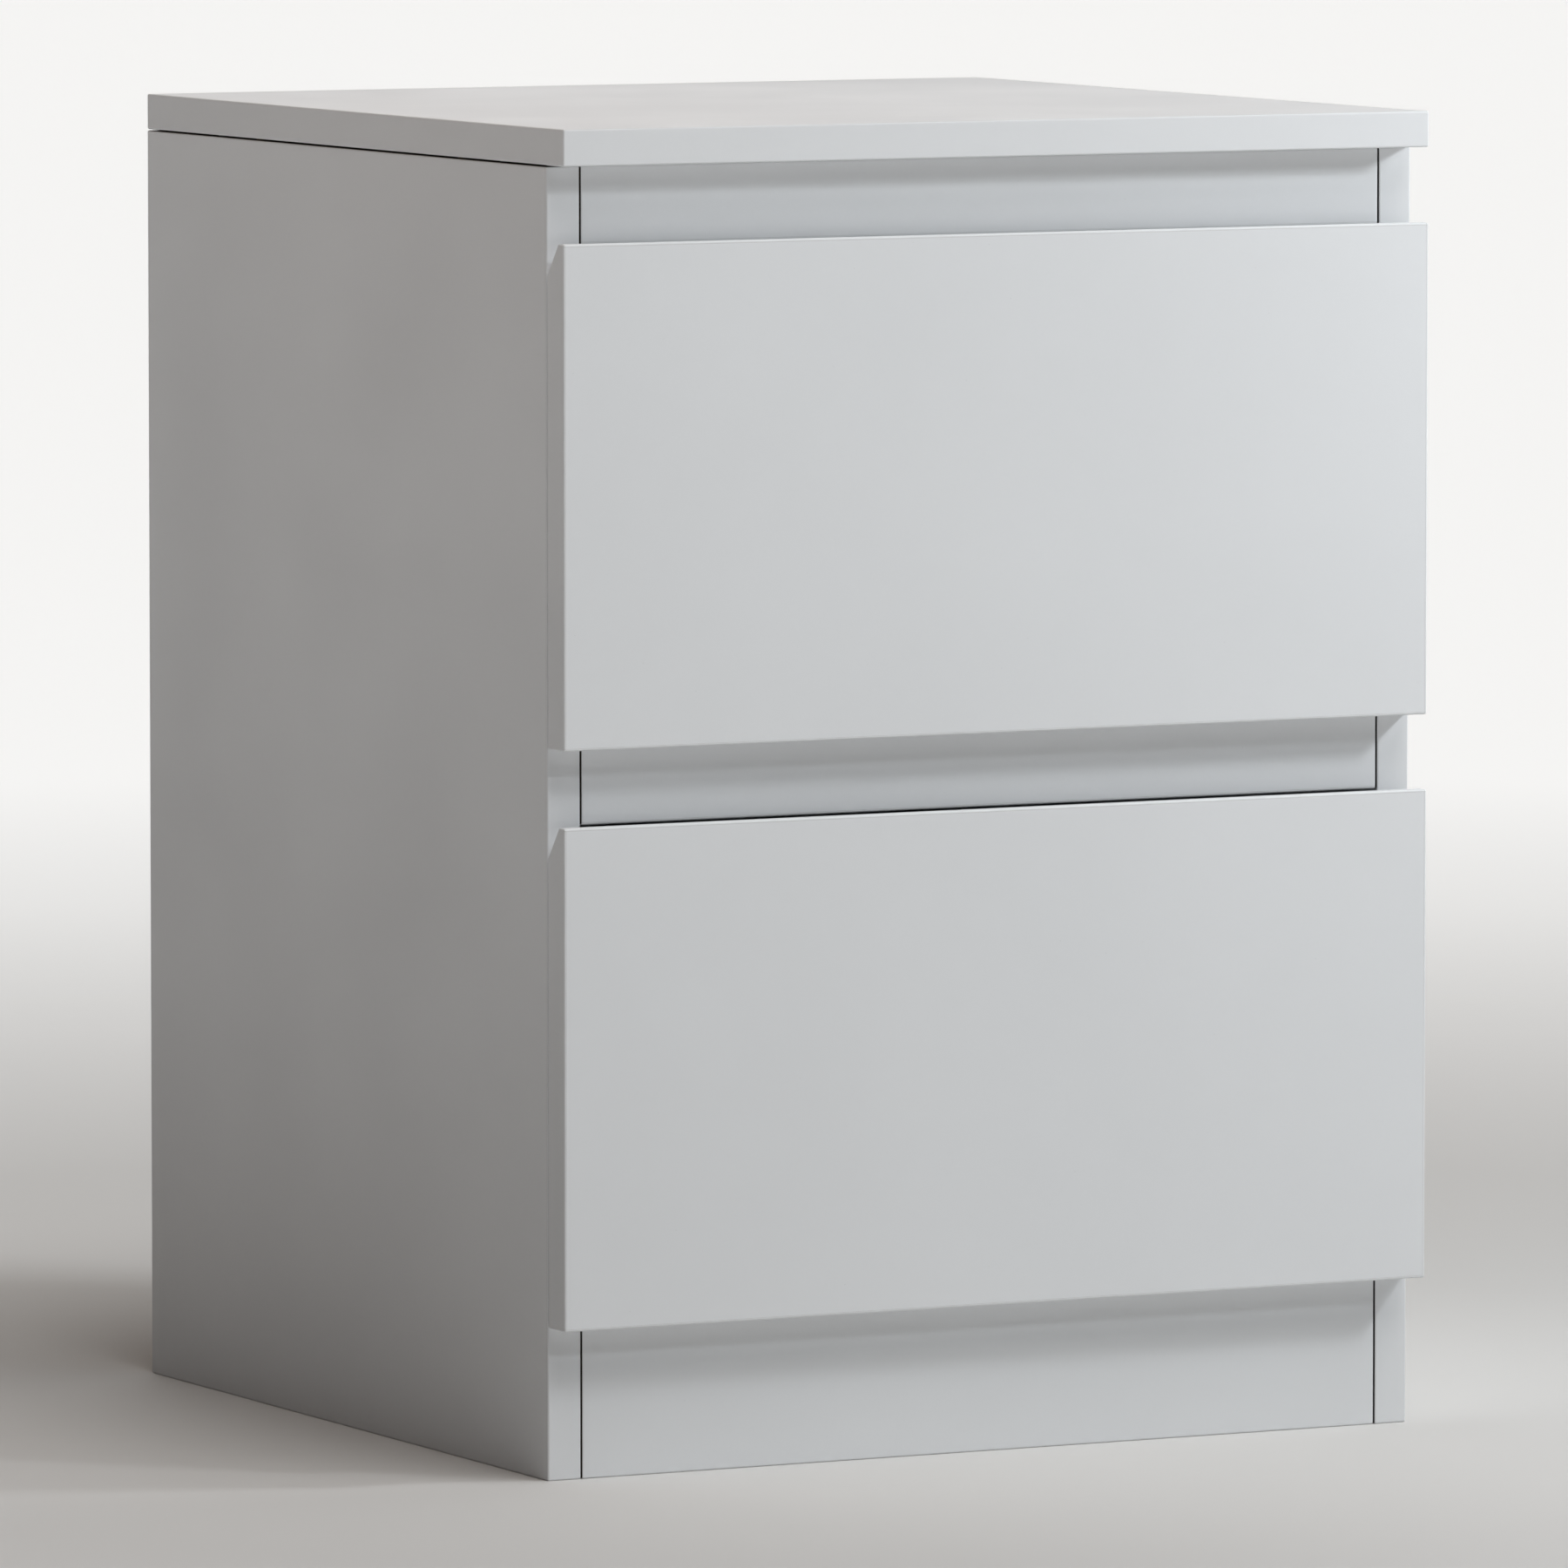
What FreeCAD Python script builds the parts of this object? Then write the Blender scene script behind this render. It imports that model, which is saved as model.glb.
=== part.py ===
import FreeCAD, Part
import os

# Two-drawer nightstand in melamine-faced board, built as the flat-pack assembly that it is:
# a carcass of boards on cam fittings and dowels, and two drawers on steel roller runners.
# Millimetres. +Z is up, +X is to the right seen from the front, and the drawers open along -Y.
# The origin is the centre of the footprint, on the floor.

Vector = FreeCAD.Vector
X, Y, Z = Vector(1, 0, 0), Vector(0, 1, 0), Vector(0, 0, 1)

# Driving dimensions
WIDTH = 400.0
DEPTH = 400.0
BOARD = 15.0             # thickness of the carcass boards and the drawer fronts
DRAWER_BOARD = 12.0      # thickness of the drawer's sides and back
HARDBOARD = 3.0          # thickness of the back panel and the drawer bottoms
PLINTH_SHOWN = 62.5      # floor to the bottom edge of the lower drawer front
FRONT_HEIGHT = 204.5     # height of each drawer front
FINGER_GAP = 31.25       # open height above each drawer front
TRAVEL = 260.0           # how far a drawer pulls out
EDGE = 0.8               # radius of the eased board edges

# The finger pull is a bevel along the back of each drawer front's top edge
PULL_LAND = 5.0          # flat part of the top edge, from the front face
PULL_DROP = 13.0         # how far the bevel runs down the back face

# Joint lines and clearances
JOINT_LINE = 0.5         # shadow line between two boards that meet
FRONT_CLEARANCE = 0.5    # between the drawer fronts and the carcass
HOLE_CLEARANCE = 0.05    # radial, between a fastener and its hole
GROOVE_DEPTH = 6.0
GROOVE_PLAY = 0.2        # a groove is this much wider than the sheet in it
SHEET_END_PLAY = 0.5     # a sheet stops this far short of its groove's bottom
BACK_INSET = 12.0        # back panel's rear face to the carcass's rear edge

# Rails between the side panels
MIDDLE_RAIL_HEIGHT = 48.0
PLINTH_HEIGHT = 75.0
REAR_TOP_RAIL_HEIGHT = 60.0
TOP_RAIL_OVERLAP = 1.0   # how far the top rail reaches below the upper front's top edge
MIDDLE_RAIL_OVERLAP = 0.3

# Drawer boxes. Heights are above the box's bottom edge, which is BOX_LIFT above that of its front
RUNNER_SPACE = 12.5      # between a drawer side and the side panel
BOX_LIFT = 21.75
BOX_HEIGHT = 140.0
BOX_LENGTH = 350.0
BOTTOM_LIFT = 12.0       # the groove for the drawer bottom
FRONT_CAM_HEIGHT = 90.0
FRONT_DOWEL_HEIGHTS = (45.0, 125.0)
BACK_SCREW_HEIGHTS = (35.0, 110.0)

# Roller runners, in heights above the drawer box's bottom edge
STEEL = 1.2
RUNNER_LENGTH = 350.0
RUNNER_SETBACK = 2.0     # runner's front end behind the front plane that it belongs to
ROLLER_RADIUS = 9.0
ROLLER_WIDTH = 7.0
ROLLER_CROWN = 0.7       # radius on the two rims
ROLLER_PLAY = 0.25       # between a roller and the steel that it runs on
ROLLER_SIDE_PLAY = 0.3   # between a roller's face and the drawer's steel
ROLLER_UNDER_FLANGE = 0.6   # between a drawer roller and the flange above it
ROLLER_INSET = 11.0      # roller axis from the end of its runner
DISH_DEPTH = 1.6
DISH_RIM = 1.8           # rim left outside the dish
HUB_RADIUS = 3.8
AXLE_RADIUS = 2.0
AXLE_PLAY = 0.06
AXLE_END_PLAY = 0.3
AXLE_SEAT_RADIUS = 3.4
AXLE_HEAD_RADIUS = 3.2
AXLE_HEAD_HEIGHT = 0.7
DRAWER_FLANGE_TOP = 18.8
CHANNEL_HEADROOM = 1.2   # drawer flange to the cabinet channel's top flange
RUNNER_LEG = 10.0        # leg under the drawer side
LIFT_OUT_NOTCH = 95.0    # length cut from the channel's top flange, where a drawer lifts out
STOP_HEIGHT = 3.0
STOP_FROM_MOUTH = 1.5    # clear channel floor on the mouth side of the stop lug
STOP_FROM_WEB = 2.0

# Fittings
CAM_REACH = 24.0         # cam centre from the end of its board
CAM_POCKET_FLOOR = 2.5   # board left behind a cam lock
CAM_RADIUS = 7.5
DRAWER_CAM_RADIUS = 6.0
DOWEL_IN_PANEL = 10.0
DOWEL_RADIUS, DOWEL_LENGTH = 4.0, 30.0
DRAWER_DOWEL_RADIUS, DRAWER_DOWEL_LENGTH = 3.0, 25.0
DOWEL_CHAMFER = 0.8
BLIND_PLAY = 0.5         # how much deeper a blind hole is than what goes in it
RAIL_MARGIN = 10.0       # a rail's fittings from its top and bottom edges
RAIL_MARGIN_SHARE = 0.31   # and no more than this share of its height
TOP_CAM_Y = 135.0        # top panel's fittings, either side of the middle of its depth
TOP_DOWEL_Y = 97.0
CABINET_SCREWS_AT = (48.0, 176.0, 304.0)   # from the runner's front end
DRAWER_SCREWS_AT = (30.0, 170.0, 318.0)
CABINET_SCREW_LENGTH = 13.0
BACK_SCREW_LENGTH = 32.0
DRAWER_SCREW_LENGTH = 11.5
NAILS_AT = (-150.0, -50.0, 50.0, 150.0)
NAIL_RADIUS, NAIL_LENGTH = 0.7, 14.0
NAIL_HEAD_RADIUS, NAIL_HEAD_HEIGHT = 1.7, 0.5
BACK_PANEL_START = 4.0   # back panel's bottom edge above the floor

# Planes worked out from the dimensions above
SIDE_FACE = WIDTH / 2
INNER_FACE = SIDE_FACE - BOARD
FRONT = -DEPTH / 2
BACK = DEPTH / 2
FRONT_BACK_FACE = FRONT + BOARD
CARCASS_FRONT = FRONT_BACK_FACE + FRONT_CLEARANCE
LOWER_FRONT = PLINTH_SHOWN
UPPER_FRONT = LOWER_FRONT + FRONT_HEIGHT + FINGER_GAP
TOP_UNDERSIDE = UPPER_FRONT + FRONT_HEIGHT + FINGER_GAP
HEIGHT = TOP_UNDERSIDE + BOARD
PANEL_TOP = TOP_UNDERSIDE - JOINT_LINE
RAIL_END = INNER_FACE - JOINT_LINE
BACK_GROOVE = BACK - BACK_INSET - HARDBOARD
BOX_FACE = INNER_FACE - RUNNER_SPACE
BOX_INNER = BOX_FACE - DRAWER_BOARD
BOX_REAR = FRONT_BACK_FACE + BOX_LENGTH
FRONTS = {"lower": LOWER_FRONT, "upper": UPPER_FRONT}

# Runner levels, above the box's bottom edge
DRAWER_FLANGE_UNDER = DRAWER_FLANGE_TOP - STEEL
DRAWER_ROLLER_HEIGHT = DRAWER_FLANGE_UNDER - ROLLER_UNDER_FLANGE - ROLLER_RADIUS
CABINET_ROLLER_HEIGHT = DRAWER_FLANGE_UNDER - ROLLER_PLAY - ROLLER_RADIUS
CHANNEL_FLOOR = DRAWER_ROLLER_HEIGHT - ROLLER_RADIUS - ROLLER_PLAY
CHANNEL_LOW = CHANNEL_FLOOR - STEEL
CHANNEL_HIGH = DRAWER_FLANGE_TOP + CHANNEL_HEADROOM + STEEL
CHANNEL_MOUTH = BOX_FACE + 2 * STEEL
ROLLER_FACE = CHANNEL_MOUTH + ROLLER_SIDE_PLAY
CABINET_RUNNER_FRONT = CARCASS_FRONT + RUNNER_SETBACK
DRAWER_RUNNER_FRONT = BOX_REAR - RUNNER_LENGTH + RUNNER_SETBACK
CABINET_ROLLER_Y = CABINET_RUNNER_FRONT + ROLLER_INSET
DRAWER_ROLLER_Y = BOX_REAR - ROLLER_INSET

# How far a cutting shape runs past the face that it enters through
PAST = 1.0


# ---------------------------------------------------------------- small helpers

def block(x, y, z):
    """A box from three (low, high) pairs."""
    return Part.makeBox(x[1] - x[0], y[1] - y[0], z[1] - z[0], Vector(x[0], y[0], z[0]))


def board(x, y, z, radius=EDGE):
    """A board with every edge eased."""
    solid = block(x, y, z)
    return solid.makeFillet(radius, solid.Edges)


def rod(start, along, radius, length):
    return Part.makeCylinder(radius, length, start, along)


def cone(start, along, r_start, r_end, length):
    return Part.makeCone(r_start, r_end, length, start, along)


def section(points, y_front, y_back):
    """A closed outline in (x, z), extruded along Y."""
    corners = [Vector(px, y_front, pz) for px, pz in points]
    face = Part.Face(Part.makePolygon(corners + corners[:1]))
    return face.extrude(Vector(0, y_back - y_front, 0))


def sided(shape, side):
    """The right-hand piece as it is, or its mirror image for the left."""
    return shape if side > 0 else shape.mirror(Vector(0, 0, 0), X)


def end_circles(solid):
    """The closed edges of a round solid."""
    return [edge for edge in solid.Edges if len(edge.Vertexes) == 1]


def cross_recess(face_point, inward, size, depth):
    """The two crossing slots of a screw drive, cut inward from face_point."""
    width = size / 4
    slot_x = Part.makeBox(size, width, depth, Vector(-size / 2, -width / 2, 0))
    slot_y = Part.makeBox(width, size, depth, Vector(-width / 2, -size / 2, 0))
    cross = slot_x.fuse(slot_y)
    cross.Placement = FreeCAD.Placement(face_point, FreeCAD.Rotation(Z, inward))
    return cross


# ---------------------------------------------------------------- fasteners

class Cam:
    """A cam lock in one board that pulls on a cam bolt screwed into another.

    joint is where the bolt crosses the joint plane, along points from the bolt's board into the
    lock's board, and face points out of the board face that the lock is pressed into.
    """

    BOLT_RADIUS, HEAD_RADIUS, COLLAR_RADIUS = 2.6, 3.2, 3.6
    THREAD_RADIUS, THREAD_LENGTH = 2.9, 10.0
    COLLAR_LENGTH, HEAD_LENGTH = 1.5, 4.5
    CHANNEL_RADIUS = 3.9
    POCKET_PLAY, DRIVE_DEPTH = 0.2, 1.5

    def __init__(self, joint, along, face, thickness):
        self.joint, self.along, self.face = joint, along, face
        self.radius = CAM_RADIUS if thickness >= BOARD else DRAWER_CAM_RADIUS
        self.height = thickness - CAM_POCKET_FLOOR
        self.mouth = joint + along * CAM_REACH + face * (thickness / 2)

    def lock(self):
        body = rod(self.mouth, self.face * -1, self.radius - HOLE_CLEARANCE, self.height)
        channel = rod(self.joint, self.along, self.CHANNEL_RADIUS, CAM_REACH + BLIND_PLAY)
        drive = cross_recess(self.mouth, self.face * -1, self.radius, self.DRIVE_DEPTH)
        return body.cut([channel, drive])

    def bolt(self):
        thread = rod(self.joint - self.along * self.THREAD_LENGTH, self.along,
                     self.THREAD_RADIUS, self.THREAD_LENGTH)
        collar = rod(self.joint, self.along, self.COLLAR_RADIUS, self.COLLAR_LENGTH)
        head_start = CAM_REACH - self.HEAD_LENGTH
        shank = rod(self.joint, self.along, self.BOLT_RADIUS, head_start)
        head = rod(self.joint + self.along * head_start, self.along,
                   self.HEAD_RADIUS, self.HEAD_LENGTH)
        return thread.fuse([collar, shank, head]).removeSplitter()

    def lock_holes(self):
        pocket = rod(self.mouth, self.face * -1, self.radius, self.height + self.POCKET_PLAY)
        way_in = rod(self.joint - self.along * PAST, self.along, self.CHANNEL_RADIUS,
                     CAM_REACH + PAST)
        return [pocket, way_in]

    def bolt_holes(self):
        reach = self.THREAD_LENGTH + BLIND_PLAY
        return [rod(self.joint - self.along * reach, self.along,
                    self.THREAD_RADIUS + HOLE_CLEARANCE, reach + PAST)]


class Dowel:
    """A beech dowel across a joint, along pointing into the board whose end it holds."""

    def __init__(self, joint, along, radius, length):
        self.along, self.radius, self.length = along, radius, length
        self.start = joint - along * DOWEL_IN_PANEL

    def pin(self):
        body = rod(self.start, self.along, self.radius - HOLE_CLEARANCE, self.length)
        return body.makeChamfer(DOWEL_CHAMFER, end_circles(body))

    def hole(self):
        start = self.start - self.along * BLIND_PLAY
        return rod(start, self.along, self.radius, self.length + 2 * BLIND_PLAY)


class Screw:
    """A cross-head chipboard screw: point is the centre of its head's outer face."""

    PAN_HEAD_HEIGHT, PAN_HEAD_ROUNDING = 1.6, 1.0
    TIP_LENGTH, TIP_RADIUS = 2.5, 0.2
    DRIVE_SIZE, DRIVE_DEPTH = 3.4, 1.1

    def __init__(self, point, inward, length, head="flat", head_radius=3.3, radius=1.6):
        self.point, self.inward, self.length = point, inward, length
        self.head, self.head_radius, self.radius = head, head_radius, radius
        self.head_height = head_radius - radius if head == "flat" else self.PAN_HEAD_HEIGHT

    def solid(self):
        if self.head == "flat":
            head = cone(self.point, self.inward, self.head_radius, self.radius, self.head_height)
        else:
            head = rod(self.point, self.inward, self.head_radius, self.head_height)
            rim = min(end_circles(head), key=lambda edge: (edge.CenterOfMass - self.point).Length)
            head = head.makeFillet(self.PAN_HEAD_ROUNDING, [rim])
        neck = self.point + self.inward * self.head_height
        straight = self.length - self.head_height - self.TIP_LENGTH
        shank = rod(neck, self.inward, self.radius, straight)
        tip = cone(neck + self.inward * straight, self.inward, self.radius, self.TIP_RADIUS,
                   self.TIP_LENGTH)
        drive = cross_recess(self.point, self.inward, self.DRIVE_SIZE, self.DRIVE_DEPTH)
        return head.fuse([shank, tip]).removeSplitter().cut(drive)

    def hole(self):
        """The clearance for the whole screw, head and all."""
        play = HOLE_CLEARANCE
        shank = rod(self.point, self.inward, self.radius + play, self.length + BLIND_PLAY)
        if self.head == "flat":
            seat = cone(self.point, self.inward, self.head_radius + play, self.radius + play,
                        self.head_height)
        else:
            seat = rod(self.point, self.inward, self.head_radius + play, self.head_height)
        return shank.fuse(seat)


# ---------------------------------------------------------------- fastener layout

def rail_spans():
    """Each rail's y span, z span and the face that its cam locks open on."""
    front = (CARCASS_FRONT, CARCASS_FRONT + BOARD)
    rear = (BACK_GROOVE - BOARD, BACK_GROOVE)
    upper_top = UPPER_FRONT + FRONT_HEIGHT
    middle_low = LOWER_FRONT + FRONT_HEIGHT - MIDDLE_RAIL_OVERLAP
    return {
        "front_top_rail": (front, (upper_top - TOP_RAIL_OVERLAP, PANEL_TOP), Y),
        "front_middle_rail": (front, (middle_low, middle_low + MIDDLE_RAIL_HEIGHT), Y),
        "plinth_board": (front, (0, PLINTH_HEIGHT), Y),
        "rear_top_rail": (rear, (PANEL_TOP - REAR_TOP_RAIL_HEIGHT, PANEL_TOP), Y * -1),
        "rear_bottom_rail": (rear, (0, PLINTH_HEIGHT), Y * -1),
    }


def rail_fittings(name):
    """The cams and dowels at both ends of one rail."""
    y, z, face = rail_spans()[name]
    middle_y = (y[0] + y[1]) / 2
    margin = min(RAIL_MARGIN, RAIL_MARGIN_SHARE * (z[1] - z[0]))
    cams, dowels = [], []
    for side in (-1, 1):
        along = X * -side
        cam_at = Vector(side * INNER_FACE, middle_y, z[1] - margin)
        dowel_at = Vector(side * INNER_FACE, middle_y, z[0] + margin)
        cams.append(Cam(cam_at, along, face, BOARD))
        dowels.append(Dowel(dowel_at, along, DOWEL_RADIUS, DOWEL_LENGTH))
    return cams, dowels


def top_fittings():
    """The cams and dowels between the top panel and both side panels."""
    cams, dowels = [], []
    for side in (-1, 1):
        x = side * (SIDE_FACE - BOARD / 2)
        for end in (-1, 1):
            cam_at = Vector(x, end * TOP_CAM_Y, TOP_UNDERSIDE)
            dowel_at = Vector(x, end * TOP_DOWEL_Y, TOP_UNDERSIDE)
            cams.append(Cam(cam_at, Z * -1, X * -side, BOARD))
            dowels.append(Dowel(dowel_at, Z * -1, DOWEL_RADIUS, DOWEL_LENGTH))
    return cams, dowels


def cabinet_runner_screws(box_bottom, side):
    height = box_bottom + DRAWER_ROLLER_HEIGHT
    web_face = INNER_FACE - STEEL
    return [Screw(Vector(side * web_face, CABINET_RUNNER_FRONT + offset, height), X * side,
                  CABINET_SCREW_LENGTH) for offset in CABINET_SCREWS_AT]


def nail_points():
    """Where the back panel is nailed to the two rear rails."""
    spans = rail_spans()
    heights = [sum(spans[rail][1]) / 2 for rail in ("rear_bottom_rail", "rear_top_rail")]
    rear_face = BACK_GROOVE + GROOVE_PLAY / 2 + HARDBOARD
    return [Vector(x, rear_face, z) for z in heights for x in NAILS_AT]


def nail(point, clearance=0.0):
    """A flat-headed panel pin, driven forward from the back panel's rear face."""
    head = rod(point, Y, NAIL_HEAD_RADIUS + clearance, NAIL_HEAD_HEIGHT)
    shank = rod(point + Y * (NAIL_HEAD_HEIGHT / 2), Y * -1, NAIL_RADIUS + clearance, NAIL_LENGTH)
    return head.fuse(shank)


# ---------------------------------------------------------------- carcass boards

def carcass_holes_in_side(side):
    """Everything drilled into one side panel."""
    holes = []
    for name in rail_spans():
        cams, dowels = rail_fittings(name)
        which = 0 if side < 0 else 1
        holes += cams[which].bolt_holes()
        holes.append(dowels[which].hole())
    cams, dowels = top_fittings()
    for cam, dowel in zip(cams, dowels):
        if cam.joint.x * side > 0:
            holes += cam.lock_holes()
            holes.append(dowel.hole())
    for front in FRONTS.values():
        holes += [s.hole() for s in cabinet_runner_screws(front + BOX_LIFT, side)]
    return holes


def side_panel(side):
    panel = board((INNER_FACE, SIDE_FACE), (CARCASS_FRONT, BACK), (0, PANEL_TOP))
    groove = block((INNER_FACE - PAST, INNER_FACE + GROOVE_DEPTH),
                   (BACK_GROOVE, BACK_GROOVE + HARDBOARD + GROOVE_PLAY),
                   (-PAST, PANEL_TOP + PAST))
    return sided(panel.cut(groove), side).cut(carcass_holes_in_side(side))


def top_panel():
    panel = board((-SIDE_FACE, SIDE_FACE), (FRONT, BACK), (TOP_UNDERSIDE, HEIGHT))
    reach = INNER_FACE + GROOVE_DEPTH
    groove = block((-reach, reach), (BACK_GROOVE, BACK_GROOVE + HARDBOARD + GROOVE_PLAY),
                   (TOP_UNDERSIDE - PAST, TOP_UNDERSIDE + GROOVE_DEPTH))
    cams, dowels = top_fittings()
    holes = [h for cam in cams for h in cam.bolt_holes()]
    holes += [dowel.hole() for dowel in dowels]
    return panel.cut([groove] + holes)


def rail(name):
    y, z, _ = rail_spans()[name]
    cams, dowels = rail_fittings(name)
    holes = [h for cam in cams for h in cam.lock_holes()]
    holes += [dowel.hole() for dowel in dowels]
    if name.startswith("rear"):
        holes += [nail(p, HOLE_CLEARANCE) for p in nail_points() if z[0] < p.z < z[1]]
    return board((-RAIL_END, RAIL_END), y, z).cut(holes)


def back_panel():
    reach = INNER_FACE + GROOVE_DEPTH - SHEET_END_PLAY
    front = BACK_GROOVE + GROOVE_PLAY / 2
    sheet = block((-reach, reach), (front, front + HARDBOARD),
                  (BACK_PANEL_START, TOP_UNDERSIDE + GROOVE_DEPTH - SHEET_END_PLAY))
    return sheet.cut([nail(p, HOLE_CLEARANCE) for p in nail_points()])


# ---------------------------------------------------------------- runners

def stop_span():
    """The stop lug's y span: the rear roller meets it just past the end of the travel."""
    over_stop = ROLLER_RADIUS + ROLLER_PLAY - STOP_HEIGHT
    reach = (ROLLER_RADIUS ** 2 - over_stop ** 2) ** 0.5
    rear = DRAWER_ROLLER_Y - TRAVEL - reach - ROLLER_PLAY
    return rear - STEEL, rear


def cabinet_runner(box_bottom, side):
    """The steel channel on the carcass, with its screw holes, lift-out notch and stop lug."""
    low, high = box_bottom + CHANNEL_LOW, box_bottom + CHANNEL_HIGH
    web, mouth = INNER_FACE - STEEL, CHANNEL_MOUTH
    outline = [(INNER_FACE, low), (mouth, low), (mouth, low + STEEL), (web, low + STEEL),
               (web, high - STEEL), (mouth, high - STEEL), (mouth, high), (INNER_FACE, high)]
    rear = CABINET_RUNNER_FRONT + RUNNER_LENGTH
    channel = section(outline, CABINET_RUNNER_FRONT, rear)
    notch = block((mouth - PAST, web),
                  (CABINET_RUNNER_FRONT - PAST, CABINET_RUNNER_FRONT + LIFT_OUT_NOTCH),
                  (high - STEEL - PAST, high + PAST))
    stop = block((mouth + STOP_FROM_MOUTH, web - STOP_FROM_WEB), stop_span(),
                 (low, low + STEEL + STOP_HEIGHT))
    holes = [s.hole() for s in cabinet_runner_screws(box_bottom, 1)]
    return sided(channel.cut(notch).fuse(stop).removeSplitter().cut(holes), side)


def drawer_runner(box_bottom, side):
    """The steel section under a drawer side, whose outward flange rides on the cabinet roller."""
    top, under = box_bottom + DRAWER_FLANGE_TOP, box_bottom + DRAWER_FLANGE_UNDER
    leg_face, tip = BOX_FACE + STEEL, ROLLER_FACE + ROLLER_WIDTH
    outline = [(BOX_FACE - RUNNER_LEG, box_bottom - STEEL), (leg_face, box_bottom - STEEL),
               (leg_face, under), (tip, under), (tip, top), (BOX_FACE, top),
               (BOX_FACE, box_bottom), (BOX_FACE - RUNNER_LEG, box_bottom)]
    steel = section(outline, DRAWER_RUNNER_FRONT, BOX_REAR)
    holes = [s.hole() for s in drawer_runner_screws(box_bottom, 1)]
    return sided(steel.cut(holes), side)


def drawer_runner_screws(box_bottom, side):
    x = side * (BOX_FACE - DRAWER_BOARD / 2)
    z = box_bottom - STEEL - Screw.PAN_HEAD_HEIGHT
    return [Screw(Vector(x, DRAWER_RUNNER_FRONT + offset, z), Z, DRAWER_SCREW_LENGTH,
                  head="pan", head_radius=3.0, radius=1.4) for offset in DRAWER_SCREWS_AT]


def roller(y, z, side):
    """A nylon roller with a crowned rim and a dished web."""
    start = Vector(ROLLER_FACE, y, z)
    body = rod(start, X, ROLLER_RADIUS, ROLLER_WIDTH)
    body = body.makeFillet(ROLLER_CROWN, end_circles(body))
    dishes = []
    for face, inward in ((start, X), (start + X * ROLLER_WIDTH, X * -1)):
        dish = rod(face, inward, ROLLER_RADIUS - DISH_RIM, DISH_DEPTH)
        dishes.append(dish.cut(rod(face, inward, HUB_RADIUS, DISH_DEPTH)))
    bore = rod(start - X * PAST, X, AXLE_RADIUS + AXLE_PLAY, ROLLER_WIDTH + 2 * PAST)
    return sided(body.cut(dishes + [bore]), side)


def axle(y, z, side, fixed_to):
    """A riveted axle standing on the channel's web ("cabinet") or the drawer's leg ("drawer")."""
    if fixed_to == "cabinet":
        root, along = Vector(INNER_FACE - STEEL, y, z), X * -1
        shoulder = root.x - ROLLER_FACE - ROLLER_WIDTH - AXLE_END_PLAY
    else:
        root, along = Vector(BOX_FACE + STEEL, y, z), X
        shoulder = ROLLER_FACE - root.x - AXLE_END_PLAY
    reach = shoulder + ROLLER_WIDTH + 2 * AXLE_END_PLAY
    pin = rod(root, along, AXLE_RADIUS, reach)
    seat = rod(root, along, AXLE_SEAT_RADIUS, shoulder)
    cap = rod(root + along * reach, along, AXLE_HEAD_RADIUS, AXLE_HEAD_HEIGHT)
    return sided(pin.fuse([seat, cap]).removeSplitter(), side)


# ---------------------------------------------------------------- drawers

def front_fittings(front_bottom):
    """The cams and dowels between a drawer front and its box sides."""
    box_bottom = front_bottom + BOX_LIFT
    cams, dowels = [], []
    for side in (-1, 1):
        x = side * (BOX_FACE - DRAWER_BOARD / 2)
        cam_at = Vector(x, FRONT_BACK_FACE, box_bottom + FRONT_CAM_HEIGHT)
        cams.append(Cam(cam_at, Y, X * side, DRAWER_BOARD))
        for height in FRONT_DOWEL_HEIGHTS:
            dowel_at = Vector(x, FRONT_BACK_FACE, box_bottom + height)
            dowels.append(Dowel(dowel_at, Y, DRAWER_DOWEL_RADIUS, DRAWER_DOWEL_LENGTH))
    return cams, dowels


def back_screws(front_bottom):
    box_bottom = front_bottom + BOX_LIFT
    y = BOX_REAR - DRAWER_BOARD / 2
    return [Screw(Vector(side * BOX_FACE, y, box_bottom + height), X * -side, BACK_SCREW_LENGTH)
            for side in (-1, 1) for height in BACK_SCREW_HEIGHTS]


def bottom_groove(front_bottom):
    """The space that the drawer bottom's groove takes out of the boards around it."""
    low = front_bottom + BOX_LIFT + BOTTOM_LIFT
    reach = BOX_INNER + GROOVE_DEPTH
    return block((-reach, reach),
                 (FRONT_BACK_FACE - GROOVE_DEPTH, BOX_REAR - DRAWER_BOARD + GROOVE_DEPTH),
                 (low, low + HARDBOARD + GROOVE_PLAY))


def drawer_front(front_bottom):
    top = front_bottom + FRONT_HEIGHT
    outline = [(FRONT, front_bottom), (FRONT_BACK_FACE, front_bottom),
               (FRONT_BACK_FACE, top - PULL_DROP), (FRONT + PULL_LAND, top), (FRONT, top)]
    corners = [Vector(-SIDE_FACE, py, pz) for py, pz in outline]
    face = Part.Face(Part.makePolygon(corners + corners[:1]))
    panel = face.extrude(X * WIDTH)
    panel = panel.makeFillet(EDGE, panel.Edges)
    cams, dowels = front_fittings(front_bottom)
    holes = [h for cam in cams for h in cam.bolt_holes()]
    holes += [dowel.hole() for dowel in dowels]
    return panel.cut([bottom_groove(front_bottom)] + holes)


def drawer_side(front_bottom, side):
    low = front_bottom + BOX_LIFT
    panel = sided(board((BOX_INNER, BOX_FACE), (FRONT_BACK_FACE, BOX_REAR), (low, low + BOX_HEIGHT)),
                  side)
    cams, dowels = front_fittings(front_bottom)
    holes = [h for cam in cams if cam.joint.x * side > 0 for h in cam.lock_holes()]
    holes += [d.hole() for d in dowels if d.start.x * side > 0]
    holes += [s.hole() for s in back_screws(front_bottom) if s.point.x * side > 0]
    holes += [s.hole() for s in drawer_runner_screws(low, side)]
    return panel.cut([bottom_groove(front_bottom)] + holes)


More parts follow.
